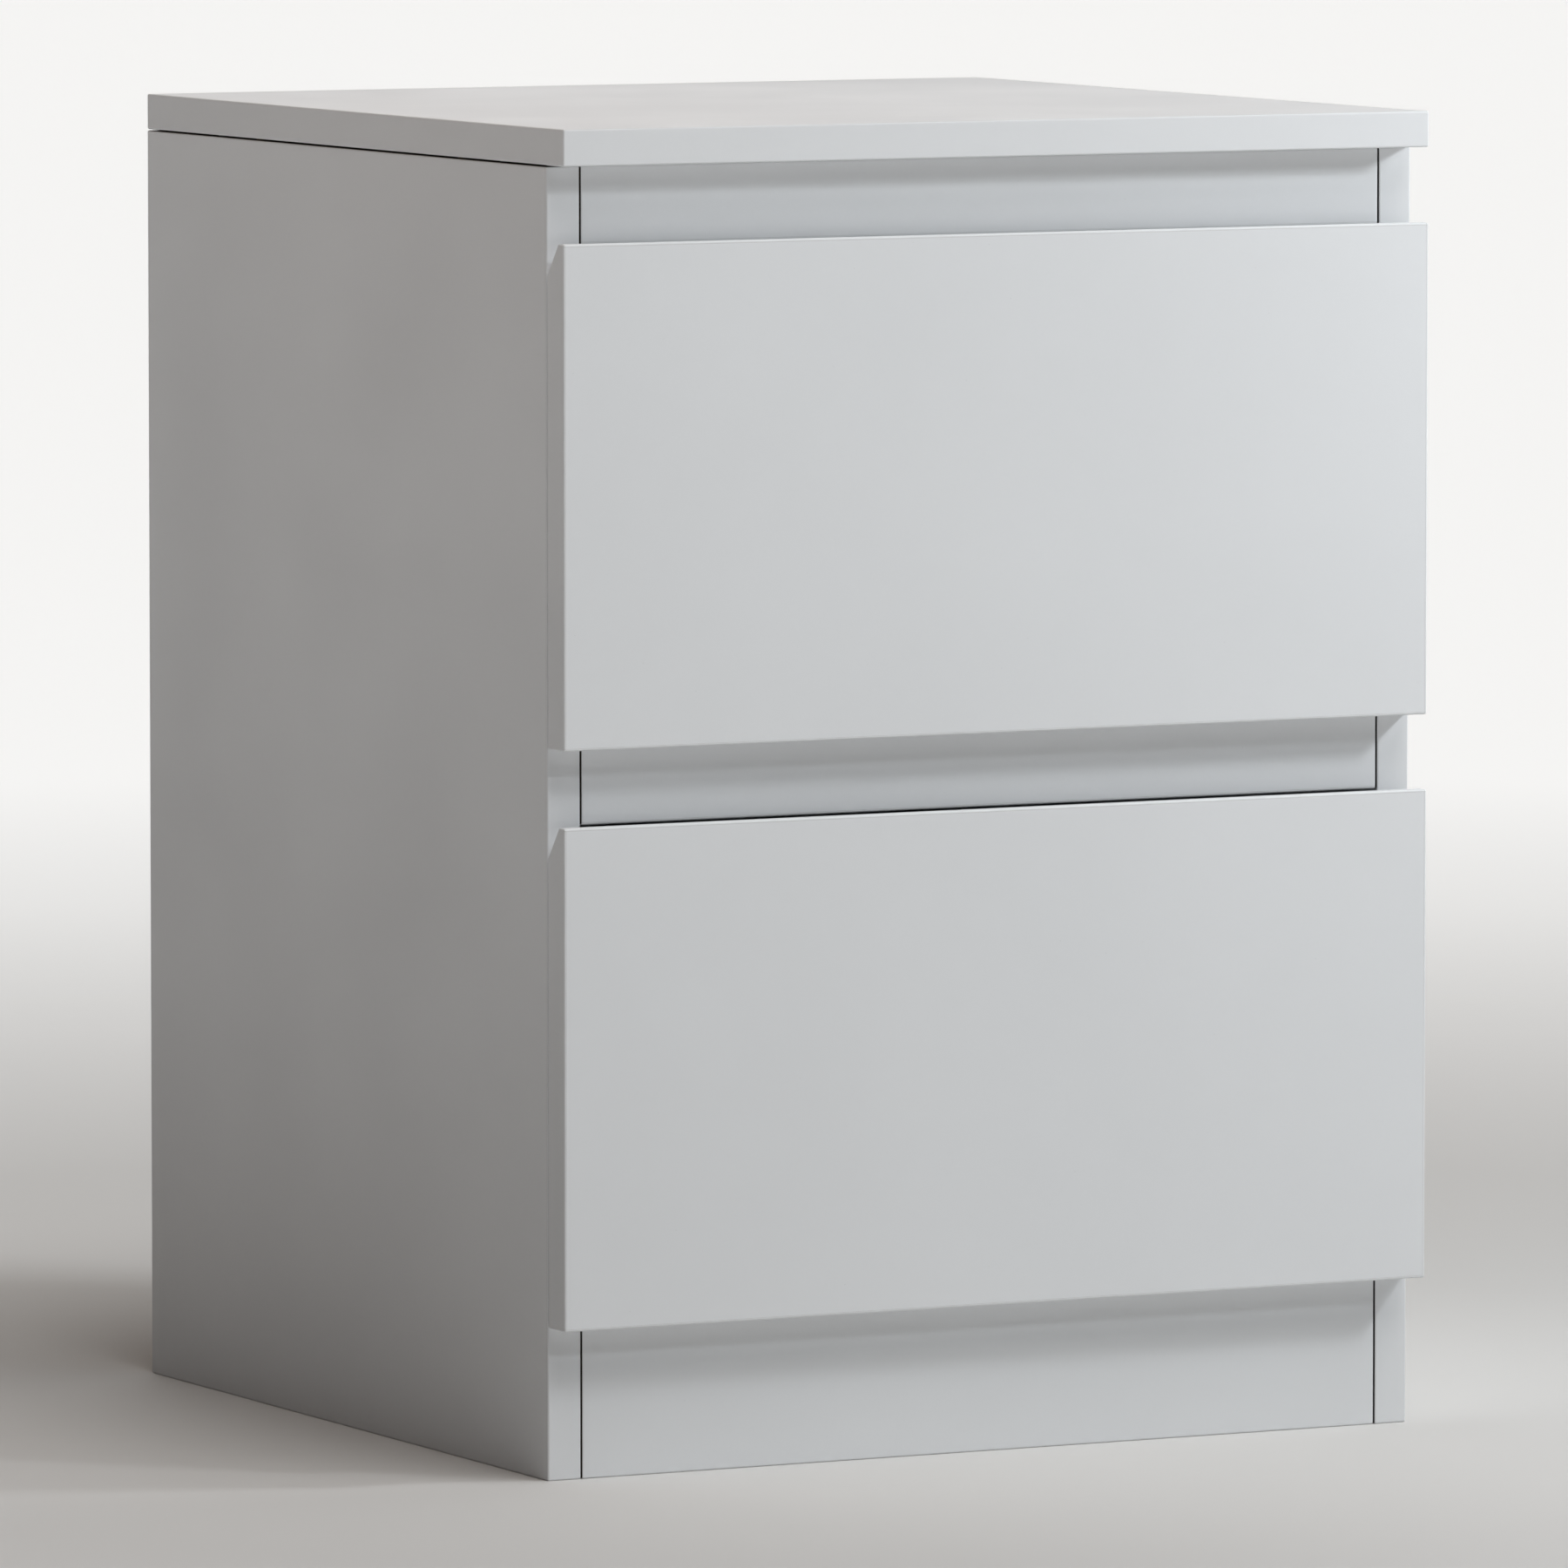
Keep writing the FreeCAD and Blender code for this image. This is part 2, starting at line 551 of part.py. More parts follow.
def drawer_back(front_bottom):
    low = front_bottom + BOX_LIFT
    panel = board((-BOX_INNER, BOX_INNER), (BOX_REAR - DRAWER_BOARD, BOX_REAR),
                  (low, low + BOX_HEIGHT))
    holes = [s.hole() for s in back_screws(front_bottom)]
    return panel.cut([bottom_groove(front_bottom)] + holes)


def drawer_bottom(front_bottom):
    low = front_bottom + BOX_LIFT + BOTTOM_LIFT + GROOVE_PLAY / 2
    reach = BOX_INNER + GROOVE_DEPTH - SHEET_END_PLAY
    return block((-reach, reach),
                 (FRONT_BACK_FACE - GROOVE_DEPTH + SHEET_END_PLAY,
                  BOX_REAR - DRAWER_BOARD + GROOVE_DEPTH - SHEET_END_PLAY),
                 (low, low + HARDBOARD))


# ---------------------------------------------------------------- nodes

def carcass_nodes():
    rails = {name: rail(name) for name in rail_spans()}
    fittings = [rail_fittings(name) for name in rails] + [top_fittings()]
    cams = [cam for some, _ in fittings for cam in some]
    dowels = [dowel for _, some in fittings for dowel in some]
    nodes = {
        "top_panel": [top_panel()],
        "left_side_panel": [side_panel(-1)],
        "right_side_panel": [side_panel(1)],
        "back_panel": [back_panel()],
        "carcass_cam_locks": [cam.lock() for cam in cams],
        "carcass_cam_bolts": [cam.bolt() for cam in cams],
        "carcass_dowels": [dowel.pin() for dowel in dowels],
        "back_panel_nails": [nail(p) for p in nail_points()],
    }
    nodes.update({name: [solid] for name, solid in rails.items()})
    screws, axles = [], []
    for level, front_bottom in FRONTS.items():
        box_bottom = front_bottom + BOX_LIFT
        height = box_bottom + CABINET_ROLLER_HEIGHT
        for hand, side in (("left", -1), ("right", 1)):
            nodes[f"{level}_{hand}_cabinet_runner"] = [cabinet_runner(box_bottom, side)]
            nodes[f"{level}_{hand}_cabinet_roller"] = [roller(CABINET_ROLLER_Y, height, side)]
            axles.append(axle(CABINET_ROLLER_Y, height, side, "cabinet"))
            screws += [s.solid() for s in cabinet_runner_screws(box_bottom, side)]
    nodes["cabinet_runner_screws"] = screws
    nodes["cabinet_roller_axles"] = axles
    return nodes


def drawer_nodes(level, front_bottom):
    box_bottom = front_bottom + BOX_LIFT
    height = box_bottom + DRAWER_ROLLER_HEIGHT
    cams, dowels = front_fittings(front_bottom)
    nodes = {
        "front": [drawer_front(front_bottom)],
        "back": [drawer_back(front_bottom)],
        "bottom": [drawer_bottom(front_bottom)],
        "cam_locks": [cam.lock() for cam in cams],
        "cam_bolts": [cam.bolt() for cam in cams],
        "dowels": [dowel.pin() for dowel in dowels],
        "back_screws": [s.solid() for s in back_screws(front_bottom)],
        "runner_screws": [s.solid() for side in (-1, 1)
                          for s in drawer_runner_screws(box_bottom, side)],
        "roller_axles": [axle(DRAWER_ROLLER_Y, height, side, "drawer") for side in (-1, 1)],
    }
    for hand, side in (("left", -1), ("right", 1)):
        nodes[f"{hand}_side"] = [drawer_side(front_bottom, side)]
        nodes[f"{hand}_runner"] = [drawer_runner(box_bottom, side)]
        nodes[f"{hand}_roller"] = [roller(DRAWER_ROLLER_Y, height, side)]
    return {f"{level}_drawer_{name}": solids for name, solids in nodes.items()}


def main():
    os.makedirs("parts", exist_ok=True)
    nodes = carcass_nodes()
    for level, front_bottom in FRONTS.items():
        nodes.update(drawer_nodes(level, front_bottom))
    for name, shapes in nodes.items():
        solids = [solid for shape in shapes for solid in shape.Solids]
        shape = solids[0] if len(solids) == 1 else Part.makeCompound(solids)
        if not shape.isValid():
            raise ValueError(f"{name} is not a valid shape")
        shape.exportStep(f"parts/{name}.step")
        print(f"{name}: {len(solids)} solid(s), {shape.Volume / 1000:.2f} cm3")
    print(f"{len(nodes)} nodes, overall {WIDTH} x {DEPTH} x {HEIGHT} mm")


main()
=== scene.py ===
import math

import bpy
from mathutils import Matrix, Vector

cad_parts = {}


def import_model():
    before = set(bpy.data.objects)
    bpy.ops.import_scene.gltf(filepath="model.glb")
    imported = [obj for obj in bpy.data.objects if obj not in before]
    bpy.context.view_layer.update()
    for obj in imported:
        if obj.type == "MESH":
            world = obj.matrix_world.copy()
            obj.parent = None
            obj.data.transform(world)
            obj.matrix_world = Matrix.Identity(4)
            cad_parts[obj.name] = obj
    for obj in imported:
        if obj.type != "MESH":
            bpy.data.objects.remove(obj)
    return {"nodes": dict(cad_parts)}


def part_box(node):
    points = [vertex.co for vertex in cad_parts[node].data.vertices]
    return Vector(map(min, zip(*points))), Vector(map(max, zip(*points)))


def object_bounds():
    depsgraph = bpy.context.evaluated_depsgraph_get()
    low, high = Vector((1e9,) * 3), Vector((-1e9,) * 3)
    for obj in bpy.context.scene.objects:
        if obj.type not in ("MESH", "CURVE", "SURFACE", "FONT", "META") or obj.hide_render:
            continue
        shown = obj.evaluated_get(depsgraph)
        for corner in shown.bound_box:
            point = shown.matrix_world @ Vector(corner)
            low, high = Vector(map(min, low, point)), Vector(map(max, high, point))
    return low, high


# The looks of a two-drawer nightstand in white melamine-faced board. Metres, +Z up, fronts facing -Y.
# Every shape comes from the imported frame, and this script gives each node its material.

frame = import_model()
CAD_LOW, CAD_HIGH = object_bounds()
NODES = frame["nodes"]

MM = 0.001
EASED_EDGE = 0.8 * MM      # radius of the boards' eased edges
BAND = 1.0 * MM            # thickness of the edge banding
GLUE_LINE = 0.12 * MM
JOINT_LINE = 0.5 * MM      # gap between two carcass boards that meet
PULL_DROP = 13.0 * MM      # the finger pull's bevel, down the back of a drawer front
PULL_LAND = 5.0 * MM       # the flat that is left in front of the bevel
FRONT_THICKNESS = 15.0 * MM


def srgb(red, green, blue):
    """A display colour, 0 to 255, as the linear colour that shaders take."""
    def linear(value):
        value /= 255
        return value / 12.92 if value <= 0.04045 else ((value + 0.055) / 1.055) ** 2.4
    return (linear(red), linear(green), linear(blue), 1.0)


# ---------------------------------------------------------------- shader building

class Graph:
    """Builds one material. Each method adds nodes and returns an output socket."""

    def __init__(self, name):
        self.material = bpy.data.materials.new(name)
        self.material.use_nodes = True
        self.tree = self.material.node_tree
        self.shader = self.tree.nodes["Principled BSDF"]
        self.place = self.node("ShaderNodeTexCoord").outputs["Object"]

    def node(self, kind, **settings):
        made = self.tree.nodes.new(kind)
        for key, value in settings.items():
            setattr(made, key, value)
        return made

    def feed(self, socket, value):
        if isinstance(value, bpy.types.NodeSocket):
            self.tree.links.new(value, socket)
        else:
            socket.default_value = value

    def set(self, **inputs):
        """Shader inputs by name, with underscores for spaces."""
        for key, value in inputs.items():
            self.feed(self.shader.inputs[key.replace("_", " ")], value)

    def math(self, operation, first, second=0.0):
        made = self.node("ShaderNodeMath", operation=operation)
        self.feed(made.inputs[0], first)
        self.feed(made.inputs[1], second)
        return made.outputs[0]

    def below(self, value, limit):
        """1 where value is under limit."""
        return self.math("LESS_THAN", value, limit)

    def either(self, masks):
        """The largest of the masks."""
        found = 0.0
        for mask in masks:
            found = self.math("MAXIMUM", found, mask)
        return found

    def both(self, first, second):
        """Where both masks are 1."""
        return self.math("MULTIPLY", first, second)

    def fade(self, value, start, end, low=0.0, high=1.0):
        """value's stretch from start to end, mapped to low to high and held beyond."""
        made = self.node("ShaderNodeMapRange")
        for index, number in enumerate((value, start, end, low, high)):
            self.feed(made.inputs[index], number)
        return made.outputs[0]

    def mix(self, factor, first, second):
        made = self.node("ShaderNodeMix", data_type="RGBA")
        self.feed(made.inputs["Factor"], factor)
        self.feed(made.inputs[6], first)
        self.feed(made.inputs[7], second)
        return made.outputs[2]

    def axes(self):
        made = self.node("ShaderNodeSeparateXYZ")
        self.feed(made.inputs[0], self.place)
        return made.outputs

    def stretched(self, scale):
        """The place, scaled along each axis."""
        made = self.node("ShaderNodeVectorMath", operation="MULTIPLY")
        self.feed(made.inputs[0], self.place)
        made.inputs[1].default_value = scale
        return made.outputs[0]

    def noise(self, scale, detail=2.0, roughness=0.5, distortion=0.0, place=None):
        made = self.node("ShaderNodeTexNoise")
        self.feed(made.inputs["Vector"], place or self.place)
        for key, value in (("Scale", scale), ("Detail", detail), ("Roughness", roughness),
                           ("Distortion", distortion)):
            self.feed(made.inputs[key], value)
        return made.outputs["Fac"]

    def cells(self, scale, place=None):
        made = self.node("ShaderNodeTexVoronoi")
        self.feed(made.inputs["Vector"], place or self.place)
        self.feed(made.inputs["Scale"], scale)
        return made.outputs

    def ramp(self, factor, stops):
        made = self.node("ShaderNodeValToRGB")
        ramp = made.color_ramp
        while len(ramp.elements) < len(stops):
            ramp.elements.new(0.5)
        for element, (position, colour) in zip(ramp.elements, stops):
            element.position, element.color = position, colour
        self.feed(made.inputs[0], factor)
        return made.outputs[0]

    def bump(self, height, depth, strength=1.0, after=None):
        """A bump whose full height is depth metres."""
        made = self.node("ShaderNodeBump")
        self.feed(made.inputs["Height"], height)
        self.feed(made.inputs["Strength"], strength)
        self.feed(made.inputs["Distance"], depth)
        if after is not None:
            self.feed(made.inputs["Normal"], after)
        return made.outputs[0]


def gap_to_faces(graph, low, high):
    """For each axis, the distance to the box's low face, to its high face, and to the nearer one."""
    gaps = []
    for axis, value in enumerate(graph.axes()):
        to_low = graph.math("SUBTRACT", value, low[axis])
        to_high = graph.math("SUBTRACT", high[axis], value)
        gaps.append((to_low, to_high, graph.math("MINIMUM", to_low, to_high)))
    return gaps


def face_mask(graph, gaps, face, depth=0.06 * MM):
    """1 on one face of a box, such as "z-" for the underside."""
    axis, end = "xyz".index(face[0]), "-+".index(face[1])
    return graph.below(gaps[axis][end], depth)


# ---------------------------------------------------------------- surfaces

def chipboard(graph):
    """The raw core of a board: pressed wood chips, coarser in the middle of the board."""
    warp = graph.noise(260.0, 2.0)
    chips = graph.cells(430.0, graph.stretched((1.0, 1.0, 1.9)))
    tone = graph.node("ShaderNodeSeparateColor")
    graph.feed(tone.inputs[0], chips["Color"])
    colour = graph.ramp(tone.outputs[0], [(0.0, srgb(128, 98, 66)), (0.35, srgb(176, 143, 102)),
                                          (0.7, srgb(203, 174, 132)), (1.0, srgb(226, 203, 165))])
    colour = graph.mix(graph.fade(warp, 0.35, 0.7, 0.0, 0.55), colour, srgb(158, 125, 86))
    pits = graph.math("ADD", chips["Distance"], warp)
    return colour, pits


def melamine_colour(graph, white):
    """White decor paper under resin: faint clouds, fibres and a few dust specks."""
    shade = tuple(channel * 0.955 for channel in white[:3]) + (1.0,)
    clouds = graph.noise(7.0, 3.0, 0.55)
    colour = graph.mix(graph.fade(clouds, 0.3, 0.7, 0.0, 0.6), white, shade)
    fibres = graph.noise(900.0, 3.0, 0.7, place=graph.stretched((1.0, 0.45, 0.6)))
    colour = graph.mix(graph.fade(fibres, 0.55, 0.8, 0.0, 0.35), colour, shade)
    specks = graph.below(graph.cells(95.0)["Distance"], 0.018)
    return graph.mix(graph.both(specks, 0.22), colour, srgb(150, 148, 142))


def painted_joint_shade_mask(graph, gaps_by_neighbour):
    """1 inside the patch where a neighbouring board is pressed against this one, where the joint's shade is
    painted.
    """
    patches = []
    for gaps in gaps_by_neighbour:
        inside = 1.0
        for _, _, nearest in gaps:
            inside = graph.both(inside, graph.math("GREATER_THAN", nearest, 0.0))
        patches.append(inside)
    return graph.either(patches)


def white_board(name, low, high, raw=(), bevel=None, joint_shade_boxes=(), white=srgb(232, 234, 236)):
    """A melamine-faced board in the box from low to high.

    The faces named in raw are bare chipboard, and so is whatever is drilled or grooved into the board.
    The other narrow faces have edge banding. A bevel is a cut, edge-banded too, that leaves the box.
    Joint shade boxes reach into the board wherever another one meets it, and the shade in the joint is painted
    near black there.
    """
    graph = Graph(name)
    gaps = gap_to_faces(graph, low, high)
    size = high - low
    thin = min(range(3), key=lambda axis: size[axis])
    nearest = graph.math("MINIMUM", graph.math("MINIMUM", gaps[0][2], gaps[1][2]), gaps[2][2])
    bare = graph.math("GREATER_THAN", nearest, EASED_EDGE * 1.06)
    if bevel:
        bare = graph.both(bare, graph.math("GREATER_THAN", distance_to_bevel(graph, gaps), 0.4 * MM))
    bare = graph.either([bare] + [face_mask(graph, gaps, face) for face in raw])

    on_broad_face = graph.below(gaps[thin][2], EASED_EDGE * 0.4)
    banded, seams = [], []
    for axis in range(3):
        for end in (0, 1):
            if axis == thin or "xyz"[axis] + "-+"[end] in raw:
                continue
            away = gaps[axis][end]
            banded.append(graph.below(away, BAND))
            offset = graph.math("ABSOLUTE", graph.math("SUBTRACT", away, BAND))
            seams.append(graph.below(offset, GLUE_LINE / 2))
    band = graph.either(banded)
    seam = graph.both(graph.either(seams), on_broad_face)

    colour = melamine_colour(graph, white)
    band_tint = tuple(channel * 0.972 for channel in white[:3]) + (1.0,)
    colour = graph.mix(graph.both(band, 0.7), colour, band_tint)
    colour = graph.mix(graph.both(seam, 0.45), colour, srgb(150, 146, 138))
    core, pits = chipboard(graph)
    colour = graph.mix(bare, colour, core)
    # painted shade: near black wherever another carcass board meets this one across a joint line
    painted_joint_shade = painted_joint_shade_mask(graph, [gap_to_faces(graph, *box) for box in joint_shade_boxes])
    graph.set(Base_Color=graph.mix(graph.both(painted_joint_shade, 0.93), colour, srgb(34, 30, 27)))

    smudges = graph.fade(graph.noise(11.0, 4.0, 0.6, 0.4), 0.35, 0.7, 0.34, 0.46)
    smooth = graph.math("ADD", smudges, graph.both(band, 0.05))
    graph.set(Roughness=graph.math("MAXIMUM", smooth, graph.both(bare, 0.85)),
              Specular_IOR_Level=0.5)

    pearl = graph.noise(1500.0, 2.0, 0.45)
    waviness = graph.noise(24.0, 1.0)
    surface = graph.bump(waviness, 0.12 * MM, 0.5)
    surface = graph.bump(pearl, 0.03 * MM, 0.35, after=surface)
    rough_core = graph.bump(pits, 0.35 * MM, graph.both(bare, 0.9), after=surface)
    graph.set(Normal=rough_core)
    return graph.material


def distance_to_bevel(graph, gaps):
    """How far a point is from the plane of a drawer front's finger pull."""
    depth, drop = gaps[1][0], gaps[2][1]
    run = FRONT_THICKNESS - PULL_LAND
    slant = math.hypot(run, PULL_DROP)
    along = graph.math("MULTIPLY", graph.math("SUBTRACT", depth, PULL_LAND), PULL_DROP / slant)
    down = graph.math("MULTIPLY", drop, run / slant)
    return graph.math("ABSOLUTE", graph.math("SUBTRACT", along, down))


def hardboard(name, low, high, lacquered):
    """A thin fibreboard sheet, white on the face named by lacquered and brown mesh-backed elsewhere."""
    graph = Graph(name)
    gaps = gap_to_faces(graph, low, high)
    white = face_mask(graph, gaps, lacquered)
    across = {"y": (0, 2), "z": (0, 1)}[lacquered[0]]
    places = graph.axes()
    weave = [graph.math("SINE", graph.math("MULTIPLY", places[axis], math.tau / (1.6 * MM)))
             for axis in across]
    mesh = graph.math("MULTIPLY", weave[0], weave[1])
    fibres = graph.noise(420.0, 5.0, 0.65, 0.6)
    brown = graph.ramp(fibres, [(0.25, srgb(124, 97, 70)), (0.55, srgb(156, 126, 93)),
                                (0.8, srgb(180, 150, 115))])
    brown = graph.mix(graph.fade(mesh, -0.2, 0.9, 0.0, 0.45), brown, srgb(112, 86, 61))
    lacquer = melamine_colour(graph, srgb(224, 226, 226))
    graph.set(Base_Color=graph.mix(white, brown, lacquer),
              Roughness=graph.fade(white, 0.0, 1.0, 0.82, 0.44), Specular_IOR_Level=0.45)
    roller_marks = graph.noise(340.0, 2.0, 0.5)
    surface = graph.bump(roller_marks, 0.05 * MM, 0.4)
    back = graph.math("SUBTRACT", 1.0, white)
    graph.set(Normal=graph.bump(mesh, 0.15 * MM, graph.both(back, 0.6), after=surface))
    return graph.material


def powder_coat(name):
    """White epoxy powder on the steel runners, with the coat's orange peel and grey rubbing marks."""
    graph = Graph(name)
    rub = graph.noise(120.0, 4.0, 0.6, place=graph.stretched((1.0, 0.04, 1.0)))
    clouds = graph.noise(40.0, 2.0)
    colour = graph.mix(graph.fade(clouds, 0.3, 0.7), srgb(223, 224, 219), srgb(214, 215, 211))
    colour = graph.mix(graph.fade(rub, 0.60, 0.78, 0.0, 0.5), colour, srgb(158, 158, 154))
    graph.set(Base_Color=colour, Roughness=graph.fade(rub, 0.4, 0.75, 0.30, 0.50),
              Specular_IOR_Level=0.55, Coat_Weight=0.15, Coat_Roughness=0.2)
    peel = graph.noise(700.0, 2.0, 0.5)
    graph.set(Normal=graph.bump(peel, 0.05 * MM, 0.5))
    return graph.material


def nylon(name):
    """Moulded natural nylon, slightly milky, with rolling marks round the rim."""
    graph = Graph(name)
    swirl = graph.noise(260.0, 3.0, 0.5, 1.2)
    tracks = graph.noise(900.0, 2.0, 0.5, place=graph.stretched((1.0, 0.05, 0.05)))
    colour = graph.mix(graph.fade(swirl, 0.35, 0.65), srgb(228, 226, 214), srgb(214, 212, 199))
    colour = graph.mix(graph.fade(tracks, 0.58, 0.7, 0.0, 0.4), colour, srgb(176, 174, 165))
    graph.set(Base_Color=colour, Roughness=graph.fade(tracks, 0.4, 0.7, 0.36, 0.52),
              Subsurface_Weight=0.12, Subsurface_Scale=0.002)
    graph.set(Normal=graph.bump(swirl, 0.06 * MM, 0.4))
    return graph.material


def metal(name, light, dark, grain, rough=(0.28, 0.46), stretch=(1.0, 1.0, 1.0), depth=0.04 * MM):
    """Bare or plated metal: light and dark tones, a grain scale and its stretch along each axis."""
    graph = Graph(name)
    marks = graph.noise(grain, 5.0, 0.62, 0.3, place=graph.stretched(stretch))
    stain = graph.noise(grain / 6, 3.0, 0.5, 0.8)
    colour = graph.mix(graph.fade(marks, 0.3, 0.7), light, dark)
    colour = graph.mix(graph.fade(stain, 0.5, 0.75, 0.0, 0.5), colour, dark)
    graph.set(Base_Color=colour, Metallic=1.0, Roughness=graph.fade(marks, 0.3, 0.7, *rough))
    graph.set(Normal=graph.bump(marks, depth, 0.6))
    return graph.material


def beech(name):
    """Bare turned beech with short dark flecks along the dowel."""
    graph = Graph(name)
    grain = graph.noise(240.0, 4.0, 0.6, 0.5, place=graph.stretched((0.3, 0.3, 1.0)))
    flecks = graph.cells(700.0, graph.stretched((0.4, 0.4, 1.0)))["Distance"]
    colour = graph.ramp(grain, [(0.3, srgb(186, 148, 104)), (0.6, srgb(208, 174, 131)),
                                (0.85, srgb(222, 193, 154))])
    colour = graph.mix(graph.fade(flecks, 0.12, 0.2, 0.6, 0.0), colour, srgb(140, 101, 66))
    graph.set(Base_Color=colour, Roughness=graph.fade(grain, 0.3, 0.8, 0.55, 0.72))
    graph.set(Normal=graph.bump(grain, 0.1 * MM, 0.5))
    return graph.material


# ---------------------------------------------------------------- which node gets what

# The faces of each board that have no edge banding
RAW_FACES = {
    "left_side_panel": ("z-", "z+", "y+"),
    "right_side_panel": ("z-", "z+", "y+"),
    "front_top_rail": ("x-", "x+", "z+"),
    "front_middle_rail": ("x-", "x+"),
    "plinth_board": ("x-", "x+", "z-"),
    "rear_top_rail": ("x-", "x+", "z-", "z+"),
    "rear_bottom_rail": ("x-", "x+", "z-", "z+"),
}
RAILS = ("front_top_rail", "front_middle_rail", "plinth_board", "rear_top_rail", "rear_bottom_rail")
SIDES = ("left_side_panel", "right_side_panel")
JOINTS = {"top_panel": SIDES, **{side: RAILS + ("top_panel",) for side in SIDES},
          **{rail: SIDES for rail in RAILS}}
DRAWER_RAW_FACES = {"left_side": ("y-", "z-"), "right_side": ("y-", "z-"), "back": ("x-", "x+", "z-")}


def is_board(node):
    return (node in RAW_FACES or node == "top_panel" or node.endswith("_drawer_front")
            or any(node.endswith("_drawer_" + part) for part in DRAWER_RAW_FACES))


def joint_boxes(node):
    """Where the other carcass boards meet this one, and the joint's shade is painted: their boxes, narrowed, but
    reaching over the joint line.
    """
    boxes = []
    low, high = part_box(node)
    for other in JOINTS.get(node, ()):
        other_low, other_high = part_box(other)
        apart = [max(other_low[axis] - high[axis], low[axis] - other_high[axis]) for axis in range(3)]
        grow = Vector((-0.15, -0.15, -0.15)) * MM
        grow[apart.index(max(apart))] = 1.4 * JOINT_LINE
        boxes.append((other_low - grow, other_high + grow))
    return boxes


def board_material(node):
    """One board's melamine, with its own raw faces and joints."""
    raw = RAW_FACES.get(node, ())
    for part, faces in DRAWER_RAW_FACES.items():
        if node.endswith("_drawer_" + part):
            raw = faces
    return white_board(node + "_melamine", *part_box(node), raw, bevel=node.endswith("_drawer_front"),
                       joint_shade_boxes=joint_boxes(node))


def dress(node, material):
    """The node's one material slot, on every face."""
    mesh = NODES[node].data
    mesh.materials.clear()
    mesh.materials.append(material)
    for face in mesh.polygons:
        face.material_index = 0


def dress_everything():
    shared = {
        "_runner": powder_coat("white_powder_coat"),
        "_roller": nylon("natural_nylon"),
        "_axles": metal("bright_rivet_steel", srgb(205, 205, 207), srgb(160, 160, 164), 600.0,
                        stretch=(0.2, 1.0, 1.0)),
        "_cam_locks": metal("die_cast_zinc", srgb(186, 188, 192), srgb(140, 143, 148), 380.0,
                            rough=(0.36, 0.58), depth=0.08 * MM),
        "_cam_bolts": metal("zinc_plated_bolt", srgb(205, 206, 210), srgb(166, 168, 172), 500.0),
        "_screws": metal("passivated_zinc", srgb(216, 208, 176), srgb(176, 170, 150), 420.0),
        "_nails": metal("bright_nail_steel", srgb(190, 190, 190), srgb(130, 130, 131), 700.0),
        "_dowels": beech("turned_beech"),
    }
    for node in NODES:
        if is_board(node):
            dress(node, board_material(node))
        elif node == "back_panel":
            dress(node, hardboard("back_panel_hardboard", *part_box(node), "y-"))
        elif node.endswith("_drawer_bottom"):
            dress(node, hardboard(node + "_hardboard", *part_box(node), "z+"))
        else:
            ending = next(end for end in shared if node.endswith(end))
            dress(node, shared[ending])


# ---------------------------------------------------------------- stage, light and camera

MIDDLE = (CAD_LOW + CAD_HIGH) / 2

# The room's brightness away from the rear wall and on it, and where its soft edge lies, as cosines
ROOM_GLOW, WALL_GLOW = 0.02, 1.0
ROOM_EDGE, WALL_EDGE = 0.72, 0.97


def floor():
    """A pale floor, wide enough to fill the picture behind the nightstand. It goes from light grey near the
    nightstand to near white further out, and from 0.9 m out it glows with painted light.
    """
    reach = 60.0
    mesh = bpy.data.meshes.new("floor")
    corners = [(-reach, -reach, 0), (reach, -reach, 0), (reach, reach, 0), (-reach, reach, 0)]
    mesh.from_pydata(corners, [], [(0, 1, 2, 3)])
    plane = bpy.data.objects.new("floor", mesh)
    bpy.context.scene.collection.objects.link(plane)
    graph = Graph("pale_floor")
    length = graph.node("ShaderNodeVectorMath", operation="LENGTH")
    graph.feed(length.inputs[0], graph.place)
    near = graph.mix(graph.noise(1.5, 2.0), srgb(211, 210, 208), srgb(215, 214, 212))
    sweep = graph.mix(graph.fade(length.outputs["Value"], 0.5, 2.2), near, srgb(248, 248, 247))
    # painted light: the floor emits faintly from 0.9 m outwards, rising to full by 3 m
    painted_floor_glow = graph.math("MULTIPLY", graph.fade(length.outputs["Value"], 0.9, 3.0), 0.36)
    graph.set(Base_Color=sweep, Roughness=0.75, Specular_IOR_Level=0.2,
              Emission_Color=(1.0, 1.0, 1.0, 1.0), Emission_Strength=painted_floor_glow)
    plane.data.materials.append(graph.material)


def direction(azimuth, elevation):
    """Away from the nightstand. Azimuth 0 is in front of it, and 90 on its right."""
    around, up = math.radians(azimuth), math.radians(elevation)
    return Vector((math.sin(around) * math.cos(up), -math.cos(around) * math.cos(up), math.sin(up)))


def softbox(name, azimuth, elevation, distance, size, watts, colour=(1.0, 1.0, 1.0)):
    """A square softbox that faces the nightstand."""
    out = direction(azimuth, elevation)
    light = bpy.data.lights.new(name, "AREA")
    light.size, light.energy, light.color = size, watts, colour
    lamp = bpy.data.objects.new(name, light)
    lamp.location = MIDDLE + out * distance
    lamp.rotation_euler = out.to_track_quat("Z", "Y").to_euler()
    bpy.context.scene.collection.objects.link(lamp)


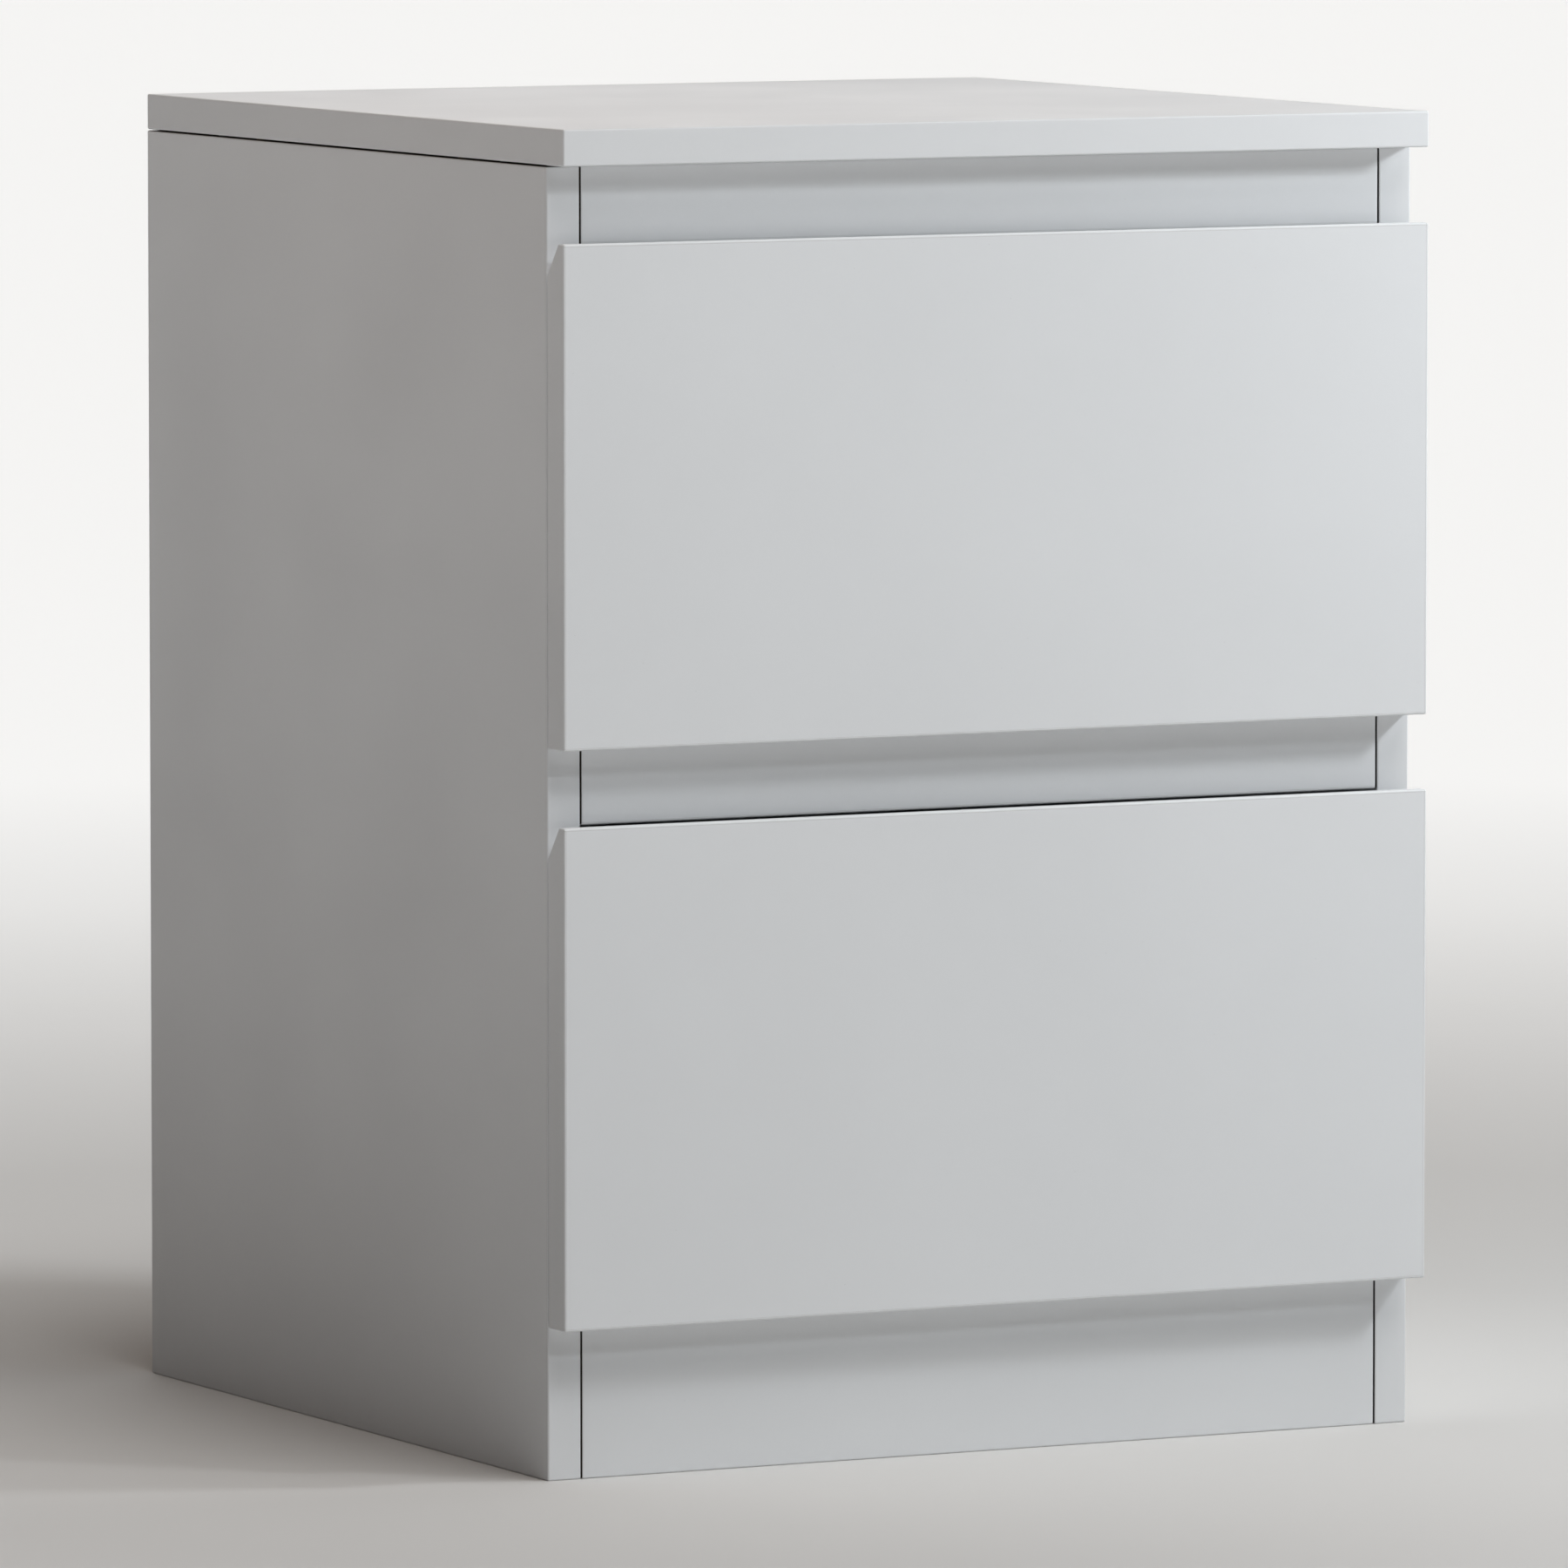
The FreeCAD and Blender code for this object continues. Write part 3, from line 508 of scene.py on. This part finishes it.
def sun(name, azimuth, elevation, spread, strength, colour=(1.0, 1.0, 1.0)):
    """A wide far light, as even on the floor as a wall of softboxes. spread is its angle across."""
    out = direction(azimuth, elevation)
    light = bpy.data.lights.new(name, "SUN")
    light.angle, light.energy, light.color = math.radians(spread), strength, colour
    lamp = bpy.data.objects.new(name, light)
    lamp.rotation_euler = out.to_track_quat("Z", "Y").to_euler()
    bpy.context.scene.collection.objects.link(lamp)


def world():
    """A dim room with a bright wall behind the nightstand, which the top panel mirrors at a low angle."""
    room = bpy.data.worlds.new("studio")
    room.use_nodes = True
    tree = room.node_tree
    sky = tree.nodes.new("ShaderNodeTexCoord").outputs["Generated"]
    toward = tree.nodes.new("ShaderNodeVectorMath")
    toward.operation = "DOT_PRODUCT"
    toward.inputs[1].default_value = direction(153.0, 10.0)
    tree.links.new(sky, toward.inputs[0])
    wall = tree.nodes.new("ShaderNodeMapRange")
    wall.interpolation_type = "SMOOTHSTEP"
    for index, number in enumerate((ROOM_EDGE, WALL_EDGE, ROOM_GLOW, WALL_GLOW), start=1):
        wall.inputs[index].default_value = number
    tree.links.new(toward.outputs["Value"], wall.inputs[0])
    background = tree.nodes["Background"]
    background.inputs["Color"].default_value = (1.0, 0.985, 0.97, 1.0)
    tree.links.new(wall.outputs[0], background.inputs["Strength"])
    bpy.context.scene.world = room


def studio():
    world()
    bpy.context.scene.view_settings.view_transform = "Standard"
    sun("overhead", 15.0, 66.0, 40.0, 1.52, (1.0, 0.98, 0.96))
    sun("front_right", 44.0, 29.0, 5.0, 0.38, (0.92, 0.965, 1.0))
    softbox("key", 53.0, 28.0, 1.2, 0.14, 4.7, (0.92, 0.965, 1.0))
    softbox("left_fill", -80.0, 60.0, 1.0, 0.4, 0.35, (1.0, 0.50, 0.25))


def camera():
    """A long lens from the left of the front, a little above the top panel."""
    lens = bpy.data.cameras.new("camera")
    lens.lens, lens.sensor_width = 331.6, 36.0
    lens.clip_start, lens.clip_end = 0.1, 200.0
    seer = bpy.data.objects.new("camera", lens)
    seer.location = MIDDLE + direction(-27.16, 4.935) * 6.091
    heading, pitch = math.radians(27.18), math.radians(5.057)
    seer.rotation_euler = (math.pi / 2 - pitch, 0.0, -heading)
    bpy.context.scene.collection.objects.link(seer)
    bpy.context.scene.camera = seer


dress_everything()
floor()
studio()
camera()
